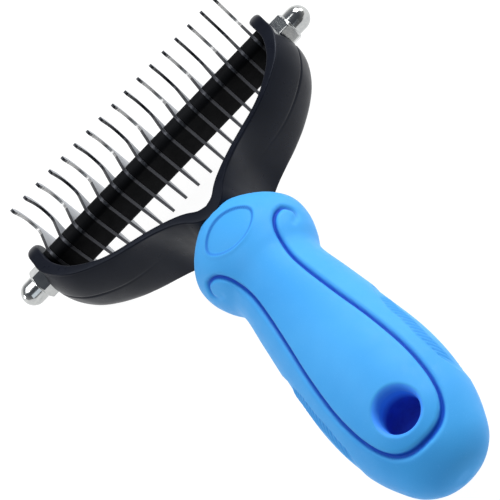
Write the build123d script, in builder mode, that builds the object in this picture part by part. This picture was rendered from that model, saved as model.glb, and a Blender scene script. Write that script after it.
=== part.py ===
"""Undercoat rake: a row of hooked steel blades clamped across a moulded yoke, with a soft grip.

The frame: origin at the middle of the hanging hole, +Y towards the blades, +X along the
blade rod, +Z up on the side that the claws point to. All sizes are in millimetres.
"""
import os

from build123d import *

os.makedirs("parts", exist_ok=True)

# The row of blades and the rod that threads them.
rod_y = 112.0               # blade rod ahead of the hanging hole
rod_radius = 1.5
rod_half_length = 49.0      # the rod ends inside the domes of its nuts
bore_clearance = 0.05
blade_count = 17
blade_pitch = 4.75
blade_thickness = 0.8
spacer_depth = 5.0          # along Y
spacer_height = 13.8        # along Z
spacer_corner = 2.3
blade_proud = 0.1           # the blade's back stands this far out of the spacers

# The yoke.
tab_radius = 8.5            # round end of each arm, about the rod
tab_inside = 39.7           # half the gap between the arms at the rod
tab_outside = 43.2
facet_end_y = -4.8          # the flat that each nut seats on ends here
arm_root_height = 12.4      # half the height of the arms where they are tallest
arm_root_y = -27.0          # measured from the rod, as every y of the head is
root_end_height = 8.4       # half the height of the yoke's root inside the grip
root_end_y = -33.0
tang_half_width = 7.0
tang_half_height = 5.5
tang_end_y = -92.0

# The clamp nuts.
nut_flats = 8.0
nut_hex_length = 3.8
nut_dome_radius = 3.4
nut_length = 9.6
nut_bore_depth = 7.0

# The grip and its hanging hole.
hole_radius = 5.2
hole_rim_radius = 7.1       # the flare reaches this radius hole_rim_height above the middle
hole_rim_height = 14.5
hole_rim_depth = 5.7
grip_sections = (           # y from the rod, half width, half height
    (-31.2, 6.6, 7.8),
    (-32.4, 9.6, 10.8),
    (-34.6, 12.4, 12.5),
    (-37.2, 14.9, 13.2),
    (-40.5, 16.4, 13.5),
    (-45.0, 16.5, 13.6),
    (-50.5, 14.9, 12.9),
    (-56.0, 12.9, 12.2),
    (-66.0, 14.1, 12.1),
    (-80.0, 16.1, 12.8),
    (-94.0, 17.7, 13.4),
    (-105.0, 17.5, 13.4),
    (-114.0, 15.9, 12.7),
    (-120.0, 13.8, 10.9),
    (-125.0, 11.2, 8.4),
    (-128.5, 7.6, 5.4),
    (-130.0, 3.4, 2.4),
)


def write(piece, name):
    """Label one finished piece and write it as its own STEP file."""
    piece.label = name
    export_step(piece, f"parts/{name}.step")


def blade_plane(x):
    """The plane of one blade or spacer: local x is +Y from the rod, local y is +Z."""
    return Plane(origin=(x, rod_y, 0), x_dir=(0, 1, 0), z_dir=(1, 0, 0))


# Blades: the odd ones have a deep toe below the claw, the even ones a slim arm.
back = spacer_depth / 2 + blade_proud
top = spacer_height / 2 + blade_proud
corner_z = top - spacer_corner
wide_front = ((18.7, 2.6), (18.1, -5.0), (16.9, -12.6))
slim_front = ((18.7, 2.6), (17.6, -1.9), (15.0, -3.7))

for index in range(blade_count):
    is_wide = index % 2 == 0
    front = wide_front if is_wide else slim_front
    x = (index - (blade_count - 1) / 2) * blade_pitch
    with BuildPart() as blade:
        with BuildSketch(blade_plane(x - blade_thickness / 2)):
            with BuildLine():
                Line((-back, -5.0), (-back, corner_z))
                TangentArc((-back, corner_z), (-back + spacer_corner, top), tangent=(0, 1))
                Line((-back + spacer_corner, top), (1.2, top))
                Line((1.2, top), (12.4, -0.4))
                Spline(
                    [(12.4, -0.4), (15.4, -1.3), (17.2, 1.9), (15.9, 7.4), (15.0, 10.0)],
                    tangents=[(0.83, -0.56), (-0.36, 0.93)],
                )
                ThreePointArc((15.0, 10.0), (15.2, 11.0), (16.2, 10.5))
                Spline([(16.2, 10.5)] + list(front))
                if is_wide:
                    ThreePointArc(front[-1], (15.6, -13.5), (14.2, -13.0))
                    Spline([(14.2, -13.0), (9.5, -9.8), (4.6, -9.0)], tangents=[(-1, 0.6), (-1, -0.6)])
                    Line((4.6, -9.0), (-0.7, -16.2))
                else:
                    Spline([front[-1], (9.0, -4.6), (4.0, -8.2)], tangents=[(-1, 0), (-0.6, -1)])
                    Line((4.0, -8.2), (-0.7, -16.2))
                ThreePointArc((-0.7, -16.2), (-1.4, -16.5), (-2.0, -16.0))
                Line((-2.0, -16.0), (-back, -5.0))
            make_face()
            Circle(rod_radius + bore_clearance, mode=Mode.SUBTRACT)
        extrude(amount=blade_thickness)
    write(blade.part, f"blade_{index + 1:02d}")

# Spacers: one between each two blades, and a short one at each end.
outer_blade_face = (blade_count - 1) / 2 * blade_pitch + blade_thickness / 2
spacer_length = blade_pitch - blade_thickness
end_spacer_length = tab_inside - outer_blade_face
spacer_spans = [(-tab_inside, end_spacer_length)]
for index in range(blade_count - 1):
    spacer_spans.append((-outer_blade_face + blade_thickness + index * blade_pitch, spacer_length))
spacer_spans.append((outer_blade_face, end_spacer_length))

for index, (x, length) in enumerate(spacer_spans):
    with BuildPart() as spacer:
        with BuildSketch(blade_plane(x)):
            RectangleRounded(spacer_depth, spacer_height, spacer_corner)
            Circle(rod_radius + bore_clearance, mode=Mode.SUBTRACT)
        extrude(amount=length)
    write(spacer.part, f"spacer_{index + 1:02d}")

# The rod, threaded at both ends, held by two domed nuts.
with BuildPart() as rod:
    with BuildSketch(blade_plane(-rod_half_length)):
        Circle(rod_radius)
    extrude(amount=2 * rod_half_length)
    chamfer(rod.edges().filter_by(GeomType.CIRCLE), length=0.3)
write(rod.part, "clamp_rod")

for side, name in ((-1, "left"), (1, "right")):
    seat = Plane(origin=(side * tab_outside, rod_y, 0), x_dir=(0, 1, 0), z_dir=(side, 0, 0))
    shoulder = nut_length - nut_dome_radius
    with BuildPart() as nut:
        with BuildSketch(seat):
            RegularPolygon(nut_flats / 2, 6, major_radius=False)
        extrude(amount=nut_hex_length)
        with BuildSketch(Plane(seat.origin, x_dir=seat.z_dir, z_dir=(0, 0, 1))):
            with BuildLine():
                Line((0, 0), (nut_length, 0))
                CenterArc((shoulder, 0), nut_dome_radius, 0, 90)
                Line((shoulder, nut_dome_radius), (0, nut_dome_radius))
                Line((0, nut_dome_radius), (0, 0))
            make_face()
        revolve(axis=Axis(seat.origin, seat.z_dir))
        with BuildSketch(seat):
            Circle(rod_radius + bore_clearance)
        extrude(amount=nut_bore_depth, mode=Mode.SUBTRACT)
    write(nut.part, f"dome_nut_{name}")

# The yoke: two tall band arms from one tang, with a round tab for the rod at each end.
inner_edge = ((0.0, -30.8), (4.5, -27.9), (14.5, -22.6), (24.0, -19.2), (33.4, -13.4), (38.4, -5.8))
outer_edge = ((40.4, -13.0), (33.2, -18.9), (21.0, -23.6), (13.6, -27.4), (8.8, root_end_y))

with BuildPart() as yoke:
    with BuildSketch(Plane.XY.offset(-arm_root_height)):
        with BuildLine():
            inner = [(x, rod_y + y) for x, y in inner_edge] + [(tab_inside, rod_y - spacer_depth / 2)]
            outer = [(tab_outside, rod_y + facet_end_y)] + [(x, rod_y + y) for x, y in outer_edge]
            Spline(inner, tangents=[(1, 0), (0, 1)])
            Polyline(
                inner[-1],
                (tab_inside, rod_y + tab_radius),
                (tab_outside, rod_y + tab_radius),
                outer[0],
            )
            Spline(outer, tangents=[(0, -1), (0, -1)])
            Line(outer[-1], (0, outer[-1][1]))
            mirror(about=Plane.YZ)
        make_face()
    extrude(amount=2 * arm_root_height)
    with BuildSketch(blade_plane(-60)):
        Circle(tab_radius)
        with BuildLine():
            Polyline(
                (0, -tab_radius),
                (0, tab_radius),
                (arm_root_y, arm_root_height),
                (arm_root_y - 4, arm_root_height - 0.8),
                (root_end_y, root_end_height),
                (root_end_y, -root_end_height),
                (arm_root_y - 4, 0.8 - arm_root_height),
                (arm_root_y, -arm_root_height),
                close=True,
            )
        make_face()
    extrude(amount=120, mode=Mode.INTERSECT)
    tang_length = outer_edge[-1][1] - tang_end_y
    with Locations((0, rod_y + tang_end_y + tang_length / 2, 0)):
        Box(2 * tang_half_width, tang_length, 2 * tang_half_height)
    with BuildSketch(blade_plane(-60)):
        Circle(rod_radius + bore_clearance)
    extrude(amount=120, mode=Mode.SUBTRACT)
write(yoke.part, "yoke")

# The grip: a soft skin moulded over the yoke's root, with a flared hanging hole.
with BuildPart() as grip:
    for y, half_width, half_height in grip_sections:
        with BuildSketch(Plane(origin=(0, rod_y + y, 0), x_dir=(1, 0, 0), z_dir=(0, -1, 0))):
            Ellipse(half_width, half_height)
    loft()
    add(yoke.part, mode=Mode.SUBTRACT)
    with BuildSketch(Plane.XY):
        Circle(hole_radius)
    extrude(amount=20, both=True, mode=Mode.SUBTRACT)
    for side in (-1, 1):
        rim_plane = Plane(origin=(0, 0, side * hole_rim_height), x_dir=(1, 0, 0), z_dir=(0, 0, -side))
        with BuildSketch(rim_plane):
            Circle(hole_rim_radius)
        with BuildSketch(rim_plane.offset(hole_rim_depth)):
            Circle(hole_radius)
        loft(mode=Mode.SUBTRACT)
write(grip.part, "grip")
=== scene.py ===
"""Undercoat rake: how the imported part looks.

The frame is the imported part's own: origin at the middle of the hanging hole, +Y towards the
blades, +X along the blade rod, +Z up on the side that the claws point to. Outlines below are in
millimetres, with y measured from the blade rod, and placed() turns them into metres.
"""

import math

import bmesh
import bpy
import numpy as np
from mathutils import Matrix, Vector


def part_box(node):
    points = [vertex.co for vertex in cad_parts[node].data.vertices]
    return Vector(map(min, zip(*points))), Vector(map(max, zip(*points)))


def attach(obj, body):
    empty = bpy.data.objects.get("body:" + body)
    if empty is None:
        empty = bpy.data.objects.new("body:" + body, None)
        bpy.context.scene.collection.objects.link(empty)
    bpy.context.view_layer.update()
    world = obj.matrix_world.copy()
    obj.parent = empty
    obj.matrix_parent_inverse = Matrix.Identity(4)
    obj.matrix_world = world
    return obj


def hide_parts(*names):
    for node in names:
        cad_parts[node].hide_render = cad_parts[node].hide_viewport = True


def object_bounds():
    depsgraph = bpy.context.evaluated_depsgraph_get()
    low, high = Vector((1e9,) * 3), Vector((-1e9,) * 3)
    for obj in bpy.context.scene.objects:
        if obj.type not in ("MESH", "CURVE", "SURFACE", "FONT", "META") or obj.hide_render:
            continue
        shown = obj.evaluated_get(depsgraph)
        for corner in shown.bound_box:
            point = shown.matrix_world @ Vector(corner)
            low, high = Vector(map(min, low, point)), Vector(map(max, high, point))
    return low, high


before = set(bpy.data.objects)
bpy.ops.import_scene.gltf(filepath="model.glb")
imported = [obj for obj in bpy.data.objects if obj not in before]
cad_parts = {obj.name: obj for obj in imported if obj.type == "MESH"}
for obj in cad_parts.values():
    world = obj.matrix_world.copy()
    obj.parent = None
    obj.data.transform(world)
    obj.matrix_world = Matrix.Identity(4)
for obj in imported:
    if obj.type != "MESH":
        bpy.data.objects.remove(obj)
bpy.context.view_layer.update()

MM = 0.001
rod_low, rod_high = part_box("clamp_rod")
rod_y = (rod_low.y + rod_high.y) / 2
tab_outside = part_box("dome_nut_right")[0].x / MM
tab_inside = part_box("spacer_18")[1].x / MM
hole_y = -rod_y / MM        # the hanging hole is the frame's origin
tine_start = 12.6           # the tine of a blade starts this far ahead of the rod
tip_start = 9.2             # and its tip, whose edges keep the painted shade, starts at this height
sharp_angle = math.radians(35)      # a CAD edge sharper than this is ground round
flat_angle = math.radians(0.6)      # and CAD faces within this of each other become one
weld_distance = 0.002 * MM
edge_normal_x = 0.6         # a blade's face with less X than this in its normal is on its edge


# ---------------------------------------------------------------- mesh helpers

def placed(points):
    """Points in millimetres from the rod, as metres in the frame."""
    return np.asarray(points, float) * MM + np.array((0.0, rod_y, 0.0))


def curve_through(knots, count):
    """Evenly spaced points on a smooth curve through the knots, for any number of columns."""
    knots = np.asarray(knots, float)
    steps = np.linalg.norm(np.diff(knots[:, :2], axis=0), axis=1) ** 0.5
    at = np.concatenate([[0.0], np.cumsum(steps)])
    slope = np.gradient(knots, at, axis=0)
    fine = np.linspace(0.0, at[-1], count * 8)
    i = np.clip(np.searchsorted(at, fine, side="right") - 1, 0, len(at) - 2)
    h = (at[i + 1] - at[i])[:, None]
    u = ((fine - at[i]) / (at[i + 1] - at[i]))[:, None]
    curve = (
        (1 + 2 * u) * (1 - u) ** 2 * knots[i]
        + u * (1 - u) ** 2 * h * slope[i]
        + u ** 2 * (3 - 2 * u) * knots[i + 1]
        + u ** 2 * (u - 1) * h * slope[i + 1]
    )
    walked = np.linalg.norm(np.diff(curve[:, :2], axis=0), axis=1)
    walked = np.concatenate([[0.0], np.cumsum(walked)])
    even = np.linspace(0.0, walked[-1], count)
    return np.stack([np.interp(even, walked, column) for column in curve.T], axis=1)


def smoothstep(low, high, value):
    """0 at low, 1 at high and a smooth step between them. low may be the larger of the two."""
    t = np.clip((value - low) / (high - low), 0.0, 1.0)
    return t * t * (3 - 2 * t)


def band(first, second, wrap=True):
    """The quads between two rows of vertex numbers."""
    quads = np.stack([first, np.roll(first, -1), np.roll(second, -1), second], axis=1)
    return quads if wrap else quads[:-1]


def new_piece(name, points, faces, materials, replaced, attributes=None):
    """A smooth mesh object from points in metres, riding on the one body of the rake."""
    used = np.unique(np.concatenate([np.ravel(f) for f in faces]))
    renumber = np.zeros(len(points), int)
    renumber[used] = np.arange(len(used))
    mesh = bpy.data.meshes.new(name)
    mesh.from_pydata(
        np.asarray(points)[used].tolist(), [], [renumber[np.asarray(f)].tolist() for f in faces]
    )
    for key, values in (attributes or {}).items():
        layer = mesh.attributes.new(key, "FLOAT", "POINT")
        layer.data.foreach_set("value", np.asarray(values, np.float32)[used])
    work = bmesh.new()
    work.from_mesh(mesh)
    bmesh.ops.recalc_face_normals(work, faces=work.faces)
    work.to_mesh(mesh)
    work.free()
    mesh.polygons.foreach_set("use_smooth", [True] * len(mesh.polygons))
    for material in materials:
        mesh.materials.append(material)
    piece = bpy.data.objects.new(name, mesh)
    bpy.context.scene.collection.objects.link(piece)
    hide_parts(*replaced)
    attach(piece, "root")
    return piece


def ground_copy(name, node, materials, edge):
    """A copy of a plain CAD node's mesh with its seams welded and every sharp edge ground round.

    The first material goes on the faces that look along X. The others, if there are any, go on the
    edges: the second one, a painted shade, everywhere, and the third one, a painted highlight, on the
    tine short of its tip.
    """
    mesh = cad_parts[node].data.copy()
    mesh.name = name
    work = bmesh.new()
    work.from_mesh(mesh)
    bmesh.ops.remove_doubles(work, verts=work.verts, dist=weld_distance)
    bmesh.ops.dissolve_limit(work, angle_limit=flat_angle, verts=work.verts, edges=work.edges)
    bmesh.ops.recalc_face_normals(work, faces=work.faces)
    sharp = [e for e in work.edges if e.is_manifold and e.calc_face_angle(0.0) > sharp_angle]
    bmesh.ops.bevel(
        work, geom=sharp, offset=edge, segments=2, profile=0.6, affect="EDGES", clamp_overlap=True
    )
    work.to_mesh(mesh)
    work.free()
    if "custom_normal" in mesh.attributes:
        mesh.attributes.remove(mesh.attributes["custom_normal"])
    mesh.polygons.foreach_set("use_smooth", [True] * len(mesh.polygons))
    mesh.set_sharp_from_angle(angle=sharp_angle)
    mesh.materials.clear()
    for material in materials:
        mesh.materials.append(material)
    if len(materials) > 1:
        for face in mesh.polygons:
            out_y = (face.center.y - rod_y) / MM
            on_tine = out_y > tine_start and face.center.z / MM < tip_start
            if abs(face.normal.x) >= edge_normal_x:
                face.material_index = 0
            else:
                face.material_index = len(materials) - 1 if on_tine else 1
    piece = bpy.data.objects.new(name, mesh)
    bpy.context.scene.collection.objects.link(piece)
    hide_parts(node)
    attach(piece, "root")
    return piece


# ---------------------------------------------------------------- materials

class Shader:
    """One node material: its Principled node, and short ways to add the nodes that feed it."""

    def __init__(self, name, **values):
        self.material = bpy.data.materials.new(name)
        self.material.use_nodes = True
        self.tree = self.material.node_tree
        self.surface = self.tree.nodes["Principled BSDF"]
        self.coordinates = self.add("ShaderNodeTexCoord").outputs["Object"]
        for key, value in values.items():
            self.surface.inputs[key.replace("_", " ")].default_value = value

    def add(self, kind, **settings):
        node = self.tree.nodes.new(kind)
        for key, value in settings.items():
            setattr(node, key, value)
        return node

    def link(self, source, target):
        self.tree.links.new(source, target)

    def feed(self, source, socket):
        self.link(source, self.surface.inputs[socket])

    def noise(self, scale, detail=3.0, roughness=0.55, stretch=(1, 1, 1)):
        """Noise with features about 1 / scale metres wide."""
        mapping = self.add("ShaderNodeMapping")
        mapping.inputs["Scale"].default_value = stretch
        self.link(self.coordinates, mapping.inputs["Vector"])
        noise = self.add("ShaderNodeTexNoise")
        noise.inputs["Scale"].default_value = scale
        noise.inputs["Detail"].default_value = detail
        noise.inputs["Roughness"].default_value = roughness
        self.link(mapping.outputs["Vector"], noise.inputs["Vector"])
        return noise.outputs["Fac"]

    def remap(self, source, low, high, new_low, new_high):
        """The source, moved from one range to another and clamped."""
        node = self.add("ShaderNodeMapRange")
        limits = {"From Min": low, "From Max": high, "To Min": new_low, "To Max": new_high}
        for key, value in limits.items():
            node.inputs[key].default_value = value
        self.link(source, node.inputs["Value"])
        return node.outputs["Result"]

    def mix(self, factor, first, second):
        """A colour between two colours, each a tuple or another node's output."""
        node = self.add("ShaderNodeMix", data_type="RGBA")
        self.link(factor, node.inputs["Factor"])
        for socket, colour in ((node.inputs[6], first), (node.inputs[7], second)):
            if isinstance(colour, tuple):
                socket.default_value = (*colour, 1.0)
            else:
                self.link(colour, socket)
        return node.outputs[2]

    def attribute(self, name):
        return self.add("ShaderNodeAttribute", attribute_name=name).outputs["Fac"]

    def bump(self, height, distance, strength=1.0, below=None):
        """A fine relief, which may lie on top of another one."""
        node = self.add("ShaderNodeBump")
        node.inputs["Distance"].default_value = distance
        node.inputs["Strength"].default_value = strength
        self.link(height, node.inputs["Height"])
        if below is not None:
            self.link(below, node.inputs["Normal"])
        return node.outputs["Normal"]


flare_lit_blue = (0.055, 0.30, 0.95)        # a lighter blue painted on the hanging hole's flare and the mouths of its bore: painted light on its shaded wall


def grip_rubber():
    """Soft blue rubber: matt, with cloudy colour and a fine moulded grain. Painted shade in deep blue
    darkens the grooves, the badge outline and the valleys between the flank ribs, and a painted lighter
    blue lights the flare of the hanging hole.
    """
    shader = Shader("grip_rubber", Specular_IOR_Level=0.16, Sheen_Weight=0.08, Sheen_Roughness=0.4)
    clouds = shader.remap(shader.noise(55.0, 2.0), 0.3, 0.7, 0.0, 1.0)
    body = shader.mix(clouds, (0.043, 0.322, 0.75), (0.059, 0.362, 0.79))
    specks = shader.remap(shader.noise(2600.0, 2.0), 0.62, 0.75, 0.0, 0.25)
    body = shader.mix(specks, body, (0.12, 0.44, 0.92))
    # painted shade: the grooves and the badge outline darken to a deep blue in place of the shade in
    # these creases
    crease_shade = shader.remap(shader.attribute("crease_shade"), 0.1, 0.9, 0.0, 1.0)
    body = shader.mix(crease_shade, body, (0.0003, 0.066, 0.48))
    # painted shade: the valleys between the flank ribs darken to a deeper blue
    rib_valley_shade = shader.remap(shader.attribute("rib_valley_shade"), 0.0, 1.0, 0.0, 0.65)
    body = shader.mix(rib_valley_shade, body, (0.012, 0.19, 0.62))
    # painted light: the flare of the hanging hole takes a lighter, bluer colour
    flare_light = shader.remap(shader.attribute("flare_light"), 0.0, 1.0, 0.0, 1.0)
    body = shader.mix(flare_light, body, flare_lit_blue)
    shader.feed(body, "Base Color")
    shader.feed(shader.remap(shader.noise(420.0, 3.0), 0.3, 0.7, 0.44, 0.58), "Roughness")
    pores = shader.bump(shader.noise(3200.0, 2.0), 0.00003, 0.45)
    swell = shader.bump(shader.noise(160.0, 2.0), 0.0002, 0.18, below=pores)
    shader.feed(swell, "Normal")
    return shader.material


def bore_shade_rubber():
    """The same rubber inside the hanging hole, dull, with painted shade: a much deeper blue down the
    bore, and the painted lighter blue of the flare at its mouths.
    """
    shader = Shader("bore_shade_rubber", Roughness=0.8, Specular_IOR_Level=0.05)
    clouds = shader.remap(shader.noise(300.0, 3.0), 0.3, 0.7, 0.0, 1.0)
    # painted shade: the bore's darker blue stands in for the shade inside the hole
    bore_shade = shader.mix(clouds, (0.009, 0.045, 0.46), (0.015, 0.080, 0.60))
    mouth = shader.remap(shader.attribute("flare_light"), 0.0, 1.0, 0.0, 1.0)
    shader.feed(shader.mix(mouth, bore_shade, flare_lit_blue), "Base Color")
    shader.feed(shader.bump(shader.noise(3200.0, 2.0), 0.00003, 0.45), "Normal")
    return shader.material


def yoke_plastic():
    """Blue-black satin nylon: an uneven sheen, a spark-eroded grain and faint rub marks."""
    shader = Shader("yoke_plastic", Specular_IOR_Level=0.11, Specular_Tint=(0.76, 0.84, 1.0, 1.0))
    clouds = shader.remap(shader.noise(90.0, 3.0), 0.3, 0.7, 0.0, 1.0)
    body = shader.mix(clouds, (0.0042, 0.0052, 0.0092), (0.0068, 0.0082, 0.0138))
    rubbed = shader.remap(shader.noise(900.0, 4.0, stretch=(1.0, 0.25, 1.0)), 0.66, 0.8, 0.0, 0.3)
    body = shader.mix(rubbed, body, (0.018, 0.020, 0.026))
    shader.feed(body, "Base Color")
    shader.feed(shader.remap(shader.noise(260.0, 4.0), 0.3, 0.7, 0.26, 0.38), "Roughness")
    grain = shader.bump(shader.noise(2400.0, 3.0), 0.00003, 0.4)
    shader.feed(grain, "Normal")
    return shader.material


def spacer_plastic():
    """Black spacer plastic, duller than the yoke, with flow marks along the bar."""
    shader = Shader("spacer_plastic", Specular_IOR_Level=0.04)
    clouds = shader.remap(shader.noise(150.0, 3.0, stretch=(0.4, 1.0, 1.0)), 0.3, 0.7, 0.0, 1.0)
    shader.feed(shader.mix(clouds, (0.0028, 0.0031, 0.0038), (0.0065, 0.0070, 0.0082)), "Base Color")
    shader.feed(shader.remap(shader.noise(380.0, 3.0), 0.3, 0.7, 0.52, 0.68), "Roughness")
    shader.feed(shader.bump(shader.noise(1500.0, 3.0), 0.00003, 0.5), "Normal")
    return shader.material


def blade_steel(name, dark, light):
    """Stainless sheet between two tones: a fine brushed grain along the blade and dull patches."""
    shader = Shader(name, Metallic=1.0)
    brushed = shader.noise(3000.0, 3.0, stretch=(1.0, 0.08, 1.0))
    patches = shader.remap(shader.noise(210.0, 3.0), 0.35, 0.7, 0.0, 0.6)
    tone = shader.mix(shader.remap(brushed, 0.3, 0.7, 0.0, 1.0), dark, light)
    shader.feed(shader.mix(patches, tone, dark), "Base Color")
    shader.feed(shader.remap(brushed, 0.3, 0.7, 0.38, 0.52), "Roughness")
    shader.feed(shader.bump(brushed, 0.00001, 0.3), "Normal")
    return shader.material


def nut_chrome():
    """Bright nickel plate: a hard reflection, with slight polishing waves and fine scuffs."""
    shader = Shader("nut_chrome", Metallic=1.0)
    tone = shader.remap(shader.noise(700.0, 3.0), 0.35, 0.7, 0.0, 1.0)
    shader.feed(shader.mix(tone, (0.52, 0.53, 0.52), (0.43, 0.44, 0.445)), "Base Color")
    scuffs = shader.noise(2600.0, 4.0, stretch=(1.0, 0.2, 0.2))
    shader.feed(shader.remap(scuffs, 0.4, 0.75, 0.13, 0.2), "Roughness")
    shader.feed(shader.bump(shader.noise(500.0, 2.0), 0.00004, 0.15), "Normal")
    return shader.material


def rod_steel():
    """The plain threaded rod inside the bar: duller steel, with its drawing lines along X."""
    shader = Shader("rod_steel", Metallic=1.0, Roughness=0.35)
    drawn = shader.noise(2500.0, 3.0, stretch=(0.05, 1.0, 1.0))
    shader.feed(shader.mix(drawn, (0.45, 0.45, 0.47), (0.62, 0.62, 0.64)), "Base Color")
    shader.feed(shader.bump(drawn, 0.00002, 0.4), "Normal")
    return shader.material


def pale_floor():
    """The studio floor: a pale matt sheet with the faintest mottling."""
    shader = Shader("pale_floor", Roughness=0.9, Specular_IOR_Level=0.1, Emission_Strength=0.95)
    shader.surface.inputs["Emission Color"].default_value = (1.0, 1.0, 1.0, 1.0)
    mottle = shader.noise(6.0, 2.0)
    shader.feed(shader.mix(mottle, (0.14, 0.14, 0.14), (0.17, 0.17, 0.17)), "Base Color")
    return shader.material


# ---------------------------------------------------------------- the grip

# y, half width and half height of the grip, from the front dome to the butt
grip_sections = (
    (-31.3, 0.2, 0.2),
    (-31.3, 4.4, 5.2),
    (-31.6, 7.2, 8.6),
    (-32.6, 9.6, 11.1),
    (-34.6, 12.4, 12.5),
    (-37.2, 14.9, 13.2),
    (-40.5, 16.45, 13.5),
    (-45.0, 16.45, 13.6),
    (-49.5, 15.1, 13.0),
    (-53.5, 13.1, 12.3),
    (-56.5, 12.8, 12.1),
    (-66.0, 14.15, 12.1),
    (-80.0, 16.1, 12.75),
    (-94.0, 17.7, 13.35),
    (-105.0, 17.5, 13.35),
    (-114.0, 15.9, 12.7),
    (-120.0, 13.8, 10.9),
    (-125.0, 11.2, 8.4),
    (-128.4, 7.4, 5.4),
    (-129.8, 3.4, 2.4),
    (-129.95, 0.2, 0.2),
)
# y and half spacing of the long groove that frames the top of the grip
groove_path = (
    (-49.8, 12.8),
    (-48.2, 14.2),
    (-46.4, 14.6),
    (-45.1, 13.5),
    (-45.8, 11.8),
    (-47.6, 10.0),
    (-50.5, 8.5),
    (-54.5, 7.5),
    (-59.0, 7.1),
    (-64.0, 7.4),
    (-75.0, 8.8),
    (-87.0, 10.6),
    (-99.4, 11.7),
    (-105.7, 11.6),
    (-111.0, 11.0),
    (-115.6, 9.7),
    (-118.9, 7.7),
    (-121.0, 4.9),
    (-121.8, 2.0),
    (-121.9, 0.0),
)
# y of the edge of the ribbed panel sunk into each flank, and its distance along the skin from the
# grip's widest line
panel_edge = (
    (-112.5, 0.0),
    (-110.5, 3.8),
    (-106.5, 7.6),
    (-99.0, 9.0),
    (-87.0, 8.2),
    (-80.5, 5.6),
    (-77.0, 3.4),
    (-75.0, 0.0),
)
groove_depth = 1.15
groove_width = 0.62
groove_widening = 0.25      # the groove is this much wider at its curl and round the butt
badge_corner = 8.0          # half the width of the blank badge, at badge_y
badge_y = -41.0
badge_front = -37.0         # the middles of its front and rear arcs
badge_rear = -47.0
badge_depth = 0.42
badge_rounding = 0.75       # of its two corners
badge_lip = 0.12            # the height of the raised lip round it
panel_depth = 0.38
rib_pitch = 1.57
rib_height = 0.36
rib_slant = 0.72
rib_front = -80.5           # the ribs fade in over rib_fade from both these ends
rib_rear = -109.0
rib_fade = 3.0
hole_rim = 6.8              # the flare of the hanging hole starts here
hole_bore = 5.2
flare_depth = 2.4
ring_points = 300           # vertices round the grip
ring_count = 300            # rings along it
block = 24                  # half the side of the grid patch that gives way to each hole
hole_rings = 20
bore_steps = 14             # bands of faces down the wall of the hole


def arc_circle(corner_x, corner_y, middle_y):
    """The centre and radius of the circle through both badge corners and the middle of an arc."""
    rise = middle_y - corner_y
    radius = (corner_x ** 2 + rise ** 2) / (2 * abs(rise))
    return middle_y - math.copysign(radius, rise), radius


def grip_profile():
    """The grip's y, half width and half height at rings about evenly spaced along its skin."""
    return curve_through(grip_sections, count=1200)


profile = grip_profile()


def section_at(y):
    """Half width and half height where the grip's skin has this y, away from its two ends."""
    order = np.argsort(profile[:, 0])
    return (
        np.interp(y, profile[order, 0], profile[order, 1]),
        np.interp(y, profile[order, 0], profile[order, 2]),
    )


def skin_point(angle, y, a, b):
    return np.stack([a * np.cos(angle), y, b * np.sin(angle)], axis=-1)


def nearest(points, path):
    """How far each point is from the nearest point of a path, and how far along the path that is."""
    batch = 20000               # points at a time, so that the table of gaps stays small
    distance = np.empty(len(points))
    along = np.empty(len(points))
    for start in range(0, len(points), batch):
        part = points[start:start + batch]
        gaps = np.linalg.norm(part[:, None, :] - path[None, :, :], axis=2)
        best = gaps.argmin(axis=1)
        distance[start:start + batch] = gaps[np.arange(len(part)), best]
        along[start:start + batch] = best / (len(path) - 1)
    return distance, along


def groove_relief(points):
    """How far the long groove lowers each point of the skin, and the mask of the painted shade that
    darkens it.

    The groove is worked on one quarter of the skin and mirrored to the others.
    """
    mirrored = np.abs(points)
    mirrored[:, 1] = points[:, 1]
    path = curve_through(groove_path, count=420)
    path_a, path_b = section_at(path[:, 0])
    ratio = np.clip(path[:, 1] / path_a, 0.0, 0.999)
    path = np.stack([path[:, 1], path[:, 0], path_b * np.sqrt(1 - ratio ** 2)], axis=1)
    distance, along = nearest(mirrored, path)
    curl = groove_widening * smoothstep(0.1, 0.0, along)
    butt = groove_widening * smoothstep(0.84, 0.97, along)
    width = groove_width + curl + butt
    fade = smoothstep(0.0, 0.09, along)
    depth = groove_depth * (0.25 + 0.75 * fade)
    lift = -depth * np.exp(-(distance / width) ** 2)
    return lift, fade * np.exp(-(distance / (0.92 * width)) ** 4)


def badge_relief(points):
    """The blank badge sunk into the top of the front dome, with its lip, and the mask of the painted
    shade along its outline.
    """
    x, y, z = points.T
    is_top = z > 0
    front_y, front_radius = arc_circle(badge_corner, badge_y, badge_front)
    rear_y, rear_radius = arc_circle(badge_corner, badge_y, badge_rear)
    front_gap = np.hypot(x, y - front_y) - front_radius
    rear_gap = np.hypot(x, y - rear_y) - rear_radius
    gap = badge_rounding * np.logaddexp(front_gap / badge_rounding, rear_gap / badge_rounding)
    sunk = badge_depth * is_top * smoothstep(0.2, -0.25, gap)
    lip = badge_lip * is_top * np.exp(-((gap - 0.6) / 0.4) ** 2)
    return lip - sunk, is_top * np.exp(-(gap / 0.3) ** 2)


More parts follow.
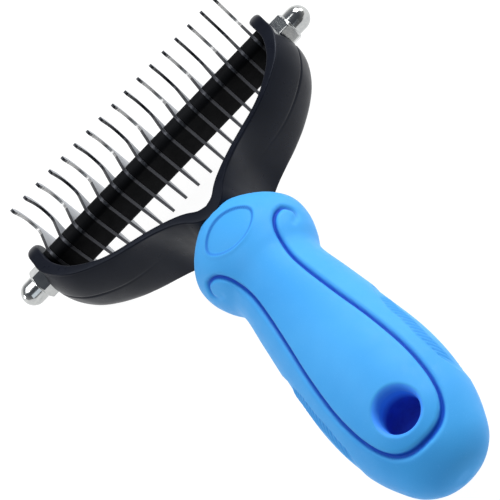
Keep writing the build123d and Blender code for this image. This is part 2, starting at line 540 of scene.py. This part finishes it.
def panel_relief(angle, y, a, b):
    """The panels sunk into the flanks, with their slanted ribs, and the mask of the painted shade in the
    ribs' valleys.
    """
    equator = math.pi / 2
    down = np.abs(np.abs(angle) - equator)          # 0 on the crown, pi / 2 on the equator
    flank = (equator - down) * (a + b) / 2          # skin distance from the equator
    edge_y, edge_flank = np.transpose(panel_edge)
    panel_rear, panel_front = edge_y[[0, -1]]
    room = np.interp(y, edge_y, edge_flank, left=0.0, right=0.0) - flank
    inside = smoothstep(-0.25, 0.35, room) * smoothstep(panel_rear, panel_rear + 4.0, y)
    inside = inside * (y < panel_front)
    wave = 0.5 + 0.5 * np.cos(2 * math.pi * (y - rib_slant * flank) / rib_pitch)
    reach = smoothstep(0.2, 0.8, room) * smoothstep(5.2, 3.2, room)
    reach = reach * smoothstep(rib_front, rib_front - rib_fade, y)
    reach = reach * smoothstep(rib_rear, rib_rear + rib_fade, y)
    return rib_height * wave * reach - panel_depth * inside, reach * (1 - wave)


def grip_relief(angle, y, a, b, normal):
    """The grip's finished points, from its plain skin, and the masks that paint shade into its grooves
    and rib valleys and light onto the hole's flare.
    """
    points = skin_point(angle, y, a, b)
    groove_lift, crease_shade = groove_relief(points)
    badge_lift, badge_line = badge_relief(points)
    panel_lift, rib_valley_shade = panel_relief(angle, y, a, b)
    radius = np.hypot(points[:, 0], y - hole_y)
    points = points + normal * (groove_lift + badge_lift + panel_lift)[:, None]
    sink = 1 - np.sqrt(1 - np.clip((hole_rim - radius) / (hole_rim - hole_bore), 0.0, 1.0) ** 2)
    points[:, 2] -= np.sign(points[:, 2]) * flare_depth * sink
    # painted light: the mask of the lighter blue painted on the flare round the hole
    flare_light = smoothstep(hole_rim - 0.3, hole_bore + 0.7, radius)
    masks = {"crease_shade": np.maximum(crease_shade, 0.6 * badge_line), "rib_valley_shade": rib_valley_shade, "flare_light": flare_light}
    return points, masks


def skin_normal(angle, y, a, b):
    """The outward normal of the plain skin, away from its two ends."""
    step = 0.05
    ahead_a, ahead_b = section_at(y + step)
    behind_a, behind_b = section_at(y - step)
    ahead = skin_point(angle, y + step, ahead_a, ahead_b)
    behind = skin_point(angle, y - step, behind_a, behind_b)
    along_y = ahead - behind
    round_it = np.stack([-a * np.sin(angle), np.zeros_like(y), b * np.cos(angle)], axis=-1)
    normal = np.cross(along_y, round_it)
    normal /= np.linalg.norm(normal, axis=1, keepdims=True) + 1e-12
    return normal * np.sign((normal * skin_point(angle, 0 * y, a, b)).sum(axis=1, keepdims=True))


def skin_grid():
    """The rings of vertices round the grip: each vertex's angle, y, half width and half height."""
    rings = profile[np.linspace(0, len(profile) - 1, ring_count).round().astype(int)]
    angles = np.arange(ring_points) / ring_points * 2 * math.pi - math.pi / 2
    angles = (angles + math.pi) % (2 * math.pi) - math.pi
    columns = (np.repeat(column, ring_points) for column in rings.T)
    return np.tile(angles, ring_count), *columns


def hole_gap(numbers, row, column):
    """The square of the grid that gives way to one mouth of the hanging hole.

    It gives the square's faces, as rows and columns of the grid, and the numbers of the vertices
    round its border.
    """
    rows = np.arange(row - block, row + block + 1)
    span = (np.arange(-block, block + 1) + column) % ring_points
    border = np.concatenate([
        numbers[rows[0], span[:-1]],
        numbers[rows[:-1], span[-1]],
        numbers[rows[-1], span[:0:-1]],
        numbers[rows[:0:-1], span[0]],
    ])
    return np.ix_(rows[:-1], span[:-1]), border


def hole_patch(side, border, x, y, first):
    """Rings of vertices that lead from the border of a gap, at x and y, to the round bore.

    It gives their angles and y, their faces, and the numbers of the last ring's vertices.
    """
    turn = np.arctan2(y - hole_y, x)
    way = np.sign(np.angle(np.exp(1j * (turn[1] - turn[0]))))
    even = turn[0] + way * np.arange(len(border)) / len(border) * 2 * math.pi
    circle_x = hole_bore * np.cos(even)
    circle_y = hole_y + hole_bore * np.sin(even)
    angles = []
    ys = []
    faces = []
    last = border
    for ring in range(1, hole_rings + 1):
        share = ring / hole_rings
        ring_x = x + (circle_x - x) * share
        ring_y = y + (circle_y - y) * share
        half_width = section_at(ring_y)[0]
        angles.append(side * np.arccos(np.clip(ring_x / half_width, -1, 1)))
        ys.append(ring_y)
        row = np.arange(first, first + len(border))
        first += len(border)
        faces.append(band(last, row))
        last = row
    return np.concatenate(angles), np.concatenate(ys), faces, last


def bore_wall(points, masks, upper_loop, lower_loop):
    """The wall of the hanging hole: all points and masks with its rings added, and its faces."""
    upper = points[upper_loop]
    mouth_below = points[lower_loop][:, :2]
    order = [int(np.hypot(*(mouth_below - corner).T).argmin()) for corner in upper[:, :2]]
    lower_loop = lower_loop[order]
    lower = points[lower_loop]
    faces = []
    last = upper_loop
    for step in range(1, bore_steps):
        share = step / bore_steps
        row = np.arange(len(points), len(points) + len(upper))
        points = np.concatenate([points, upper + (lower - upper) * share])
        # painted light: near each mouth the bore's wall takes the flare's painted lighter blue
        mouth = float(smoothstep(0.24, 0.06, min(share, 1 - share)))
        added = {"crease_shade": 0.0, "rib_valley_shade": 0.0, "flare_light": mouth}
        masks = {key: np.append(masks[key], np.full(len(upper), added[key])) for key in masks}
        faces.append(band(last, row))
        last = row
    faces.append(band(last, lower_loop))
    return points, masks, faces


def build_grip():
    """The grip's soft skin: a closed grid of rings, with a patch each side that ends in the bore."""
    angle, y, a, b = skin_grid()
    numbers = np.arange(ring_count * ring_points).reshape(ring_count, ring_points)
    hole_row = int(np.abs(y[::ring_points] - hole_y).argmin())
    skipped = np.zeros((ring_count - 1, ring_points), bool)
    total = numbers.size
    patches = []
    for side, column in ((-1, 0), (1, ring_points // 2)):
        gap, border = hole_gap(numbers, hole_row, column)
        skipped[gap] = True
        x = a[border] * np.cos(angle[border])
        patches.append(hole_patch(side, border, x, y[border], total))
        total += hole_rings * len(border)
    faces = [band(numbers[r], numbers[r + 1])[~skipped[r]] for r in range(ring_count - 1)]
    for patch_angle, patch_y, patch_faces, _ in patches:
        patch_a, patch_b = section_at(patch_y)
        angle = np.concatenate([angle, patch_angle])
        y = np.concatenate([y, patch_y])
        a = np.concatenate([a, patch_a])
        b = np.concatenate([b, patch_b])
        faces += patch_faces
    points, masks = grip_relief(angle, y, a, b, skin_normal(angle, y, a, b))
    lower_loop, upper_loop = (patch[-1] for patch in patches)
    points, masks, wall = bore_wall(points, masks, upper_loop, lower_loop)

    skin_faces = [quad for rows in faces for quad in rows] + [numbers[0], numbers[-1]]
    wall_faces = [quad for rows in wall for quad in rows]
    rubber = [grip_rubber(), bore_shade_rubber()]
    piece = new_piece(
        "grip_skin", placed(points), skin_faces + wall_faces, rubber, ["grip"], masks
    )
    is_wall = [0] * len(skin_faces) + [1] * len(wall_faces)
    piece.data.polygons.foreach_set("material_index", is_wall)


# ---------------------------------------------------------------- the yoke

# the inner face of one arm from the crotch to the rod, with the arm's thickness at its upper and
# lower ridges and how much further its belly stands out half way between them
arm_stations = (
    (0.0, -30.85, 4.0, 2.0),
    (2.3, -30.1, 3.5, 1.8),
    (5.0, -27.9, 2.9, 1.6),
    (9.0, -25.4, 2.2, 0.6),
    (14.5, -22.8, 1.8, -0.7),
    (19.5, -20.9, 1.7, 0.1),
    (24.0, -19.3, 1.65, 1.0),
    (28.5, -17.1, 1.75, 1.7),
    (33.4, -13.3, 2.35, 2.1),
    (36.7, -9.7, 2.85, 2.2),
    (38.8, -5.6, 3.35, 2.0),
    (39.6, -2.8, 3.6, 1.3),
    (39.7, 0.0, 3.5, 1.0),
)
tab_radius = 8.5
seat_edge_y = -4.05         # the flat that each nut sits on is cut into the belly from here
arm_root_height = 12.3
arm_root_y = -27.0
ridge_radius = 0.4
tab_rounding = 1.5          # the ridges round off towards the ends of the tabs
parting_depth = 0.35
tab_steps = 25


def arm_half_height(y):
    """Half the height of an arm: round about the rod, then tapering up to the root."""
    round_end = np.sqrt(np.clip(tab_radius ** 2 - np.maximum(y, 0.0) ** 2, 0.0, None))
    share = np.clip(y / arm_root_y, 0.0, 1.0)
    return np.where(y > 0, round_end, tab_radius + (arm_root_height - tab_radius) * share)


def arm_section(thickness, belly, half_height, rounding, parting):
    """One closed section of an arm: distance out from its inner face, and z."""
    r = min(rounding, 0.45 * half_height, 0.45 * thickness)
    straight = half_height - r
    inner_z = np.linspace(-straight, straight, 22)
    inner = np.stack([np.zeros_like(inner_z), inner_z], axis=1)
    quarter = np.linspace(0, math.pi / 2, 5)[1:-1]
    inner_corner = np.stack([r - r * np.cos(quarter), straight + r * np.sin(quarter)], axis=1)
    top = np.stack([np.linspace(r, thickness - r, 4), np.full(4, half_height)], axis=1)
    outer_corner = np.stack([thickness - r + r * np.sin(quarter), straight + r * np.cos(quarter)], axis=1)
    outer_z = np.linspace(straight, -straight, 61)
    fullness = np.where((outer_z > 0) | (belly < 0), 0.9, 0.55)
    swell = (1 - (outer_z / max(straight, 1e-6)) ** 2) ** fullness
    line = parting * np.exp(-(outer_z / 0.3) ** 2)
    outer = np.stack([thickness + belly * swell - line, outer_z], axis=1)
    upper = np.concatenate([inner_corner, top, outer_corner])
    lower = upper[::-1] * (1, -1)
    return np.concatenate([inner, upper, outer, lower])


def build_yoke():
    """Both arms in one piece: the right arm's sections from the crotch to its tab, and their mirror."""
    stations = curve_through(arm_stations, count=110)
    tab = np.zeros((tab_steps, 4))
    tab[:, 0] = tab_inside
    tab[:, 1] = tab_radius * np.sin(np.linspace(0, math.radians(86), tab_steps + 1))[1:]
    tab[:, 2] = tab_outside - tab_inside
    stations = np.concatenate([stations, tab])
    along = np.gradient(stations[:, :2], axis=0)
    along[0] = (1.0, 0.0)
    along[-tab_steps - 1:] = (0.0, 1.0)
    along /= np.linalg.norm(along, axis=1, keepdims=True)
    rings = []
    for (x, y, thickness, belly), (dx, dy) in zip(stations, along):
        belly *= float(smoothstep(seat_edge_y, seat_edge_y - 0.3, y))
        rounding = ridge_radius + (tab_rounding - ridge_radius) * float(smoothstep(2.0, 7.0, y))
        parting = parting_depth * float(smoothstep(-23.0, -9.0, y) * smoothstep(-3.5, -4.5, y))
        section = arm_section(thickness, belly, float(arm_half_height(np.array(y))), rounding, parting)
        out = section[:, 0]
        rings.append(np.stack([x + dy * out, y - dx * out, section[:, 1]], axis=1))
    right = np.array(rings)
    left = right[:0:-1] * (-1, 1, 1)
    rings = np.concatenate([left, right])
    count, size = rings.shape[:2]
    numbers = np.arange(count * size).reshape(count, size)
    flat = [quad for r in range(count - 1) for quad in band(numbers[r], numbers[r + 1])]
    flat += [numbers[0], numbers[-1]]
    new_piece("yoke_arms", placed(rings.reshape(-1, 3)), flat, [yoke_plastic()], ["yoke"])


# ---------------------------------------------------------------- nuts

nut_flats = 8.0
hex_length = 3.8
chamfer_start = 3.2
dome_radius = 3.45
nut_length = 9.6
nut_rounding = 0.12
nut_foot = 0.3              # the foot is this much smaller in radius than the flats
nut_collar = dome_radius + 0.35     # the chamfer ends at this radius


def build_nut(side, name, material, turned):
    """A hexagon nut with a chamfered shoulder and a round dome. One flat is turned this far from +Y."""
    turns = 144
    phi = np.arange(turns) / turns * 2 * math.pi
    from_flat = np.abs((phi - turned + math.pi / 6) % (math.pi / 3) - math.pi / 6)
    hex_radius = nut_flats / 2 / np.cos(from_flat)
    corner_radius = nut_flats / 2 / math.cos(math.pi / 6)
    shoulder = nut_length - dome_radius
    base = [(0.0, nut_flats / 2 - nut_foot), (nut_rounding, corner_radius)]
    hexagon = [(s, corner_radius) for s in np.linspace(0.3, chamfer_start, 6)]
    chamfer = [
        (
            chamfer_start + share * (hex_length - chamfer_start),
            corner_radius + share * (nut_collar - corner_radius),
        )
        for share in np.linspace(0.1, 1.0, 8)
    ]
    neck = [
        (hex_length + 0.05, dome_radius + 0.12),
        (hex_length + 0.2, dome_radius),
        (shoulder, dome_radius),
    ]
    dome = [
        (shoulder + dome_radius * math.sin(t), dome_radius * math.cos(t))
        for t in np.linspace(0, math.pi / 2, 22)[1:-1]
    ]
    rings = []
    for s, limit in base + hexagon + chamfer + neck + dome:
        radius = np.minimum(hex_radius, limit)
        x = side * (tab_outside + s)
        rings.append(np.stack([np.full(turns, x), radius * np.cos(phi), radius * np.sin(phi)], axis=1))
    rings = np.array(rings)
    numbers = np.arange(rings.shape[0] * turns).reshape(-1, turns)
    flat = [quad for r in range(len(numbers) - 1) for quad in band(numbers[r], numbers[r + 1])]
    flat += [numbers[0], numbers[-1]]
    points = placed(rings.reshape(-1, 3))
    piece = new_piece(f"{name}_plated", points, flat, [material], [name])
    piece.data.set_sharp_from_angle(angle=math.radians(28))


# ---------------------------------------------------------------- putting it together

build_grip()
build_yoke()
chrome = nut_chrome()
build_nut(-1, "dome_nut_left", chrome, turned=0.0)
build_nut(1, "dome_nut_right", chrome, turned=math.radians(94))

# Lit and shaded copies of one steel: the faces along X get the mid tone, the edges a painted shade, and
# the tine edges of the odd blades a painted highlight.
face_steel = blade_steel("blade_steel", (0.33, 0.35, 0.38), (0.43, 0.45, 0.48))
edge_shade_steel = blade_steel("edge_shade_steel", (0.040, 0.042, 0.050), (0.085, 0.088, 0.096))
tine_highlight_steel = blade_steel("tine_highlight_steel", (0.50, 0.50, 0.50), (0.62, 0.62, 0.62))
bar_plastic = spacer_plastic()
for node in sorted(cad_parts):
    if node.startswith("blade_"):
        is_bright = int(node[-2:]) % 2 == 1
        steels = [face_steel, edge_shade_steel]
        if is_bright:
            steels.append(tine_highlight_steel)
        ground_copy(f"{node}_ground", node, steels, edge=0.2 * MM)
    elif node.startswith("spacer_"):
        ground_copy(f"{node}_moulded", node, [bar_plastic], edge=0.18 * MM)
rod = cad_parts["clamp_rod"]
rod.data.materials.clear()
rod.data.materials.append(rod_steel())


# ---------------------------------------------------------------- stage, light and camera

low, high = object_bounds()


def build_floor():
    """A wide pale sheet that the claws and the grip stand on, with a soft roll at its edge."""
    half = 2.5
    steps = 24
    gap = 0.0004                # the floor stays this far below the part
    roll_height = 0.6
    line = np.linspace(-half, half, steps)
    x, y = np.meshgrid(line, line)
    reach = np.hypot(x, y)
    z = low.z - gap + roll_height * smoothstep(2.2, 3.4, reach)
    points = np.stack([x, y, z], axis=-1).reshape(-1, 3)
    numbers = np.arange(steps * steps).reshape(steps, steps)
    quads = [quad for r in range(steps - 1) for quad in band(numbers[r], numbers[r + 1], wrap=False)]
    mesh = bpy.data.meshes.new("floor")
    mesh.from_pydata(points.tolist(), [], [quad.tolist() for quad in quads])
    mesh.polygons.foreach_set("use_smooth", [True] * len(mesh.polygons))
    mesh.materials.append(pale_floor())
    floor = bpy.data.objects.new("floor", mesh)
    bpy.context.scene.collection.objects.link(floor)


def direction(azimuth, elevation):
    """A direction given in degrees: azimuth 0 is -Y, azimuth 90 is +X, and elevation 90 is +Z."""
    a = math.radians(azimuth)
    e = math.radians(elevation)
    return Vector((math.sin(a) * math.cos(e), -math.cos(a) * math.cos(e), math.sin(e)))


def softbox(name, target, azimuth, elevation, distance, size, power, colour=(1.0, 1.0, 1.0)):
    """A square area light that looks at the target from one direction."""
    light = bpy.data.lights.new(name, "AREA")
    light.shape = "SQUARE"
    light.size = size
    light.energy = power
    light.color = colour
    lamp = bpy.data.objects.new(name, light)
    back = direction(azimuth, elevation)
    lamp.location = target + back * distance
    lamp.rotation_mode = "QUATERNION"
    lamp.rotation_quaternion = (-back).to_track_quat("-Z", "Y")
    bpy.context.scene.collection.objects.link(lamp)


def build_light():
    """A pale world, brighter low down and towards the blades, with five soft square lights."""
    rise = 0.2                  # the world's strength grows by this towards +Y
    strength = 0.37
    world = bpy.data.worlds.new("studio")
    world.use_nodes = True
    tree = world.node_tree
    coordinates = tree.nodes.new("ShaderNodeTexCoord")
    axes = tree.nodes.new("ShaderNodeSeparateXYZ")
    ramp = tree.nodes.new("ShaderNodeValToRGB")
    tree.links.new(coordinates.outputs["Generated"], axes.inputs["Vector"])
    tree.links.new(axes.outputs["Z"], ramp.inputs["Fac"])
    ramp.color_ramp.elements[0].position = 0.12
    ramp.color_ramp.elements[0].color = (1.0, 1.0, 1.0, 1.0)
    ramp.color_ramp.elements[1].position = 0.75
    ramp.color_ramp.elements[1].color = (0.30, 0.33, 0.38, 1.0)
    tree.links.new(ramp.outputs["Color"], tree.nodes["Background"].inputs["Color"])
    falloff = tree.nodes.new("ShaderNodeMath")
    falloff.operation = "MULTIPLY_ADD"
    falloff.inputs[1].default_value = rise
    falloff.inputs[2].default_value = strength
    tree.links.new(axes.outputs["Y"], falloff.inputs[0])
    tree.links.new(falloff.outputs["Value"], tree.nodes["Background"].inputs["Strength"])
    bpy.context.scene.world = world
    middle = (low + high) / 2
    softbox("key_light", middle, azimuth=128, elevation=38, distance=0.9, size=0.5, power=7.0)
    softbox("back_light", middle, azimuth=222, elevation=62, distance=0.9, size=0.6, power=4.4)
    softbox(
        "fill_light", middle, azimuth=-20, elevation=30, distance=1.0, size=0.6, power=1.2,
        colour=(0.85, 0.93, 1.0),
    )
    softbox("right_rim", middle, azimuth=109, elevation=13, distance=0.9, size=0.25, power=2.4)
    softbox("left_rim", middle, azimuth=-110, elevation=8, distance=0.9, size=0.2, power=1.1)
    bpy.context.scene.view_settings.view_transform = "Standard"


def build_camera():
    """The camera looks down the handle from behind, rolled so that the grip lies to the lower right."""
    aim_x = -0.0005
    aim_behind_rod = 0.0411
    distance = 0.5976
    roll = math.radians(-51.06)
    aim = Vector((aim_x, rod_y - aim_behind_rod, 0.0))
    back = direction(azimuth=6.38, elevation=52.73)
    data = bpy.data.cameras.new("camera")
    data.lens = 172.8
    data.sensor_width = 36.0
    data.clip_start = 0.01
    data.clip_end = 20.0
    camera = bpy.data.objects.new("camera", data)
    camera.location = aim + back * distance
    camera.rotation_mode = "QUATERNION"
    upright = (-back).to_track_quat("-Z", "Y")
    camera.rotation_quaternion = upright @ Matrix.Rotation(roll, 4, "Z").to_quaternion()
    bpy.context.scene.collection.objects.link(camera)
    bpy.context.scene.camera = camera


build_floor()
build_light()
build_camera()
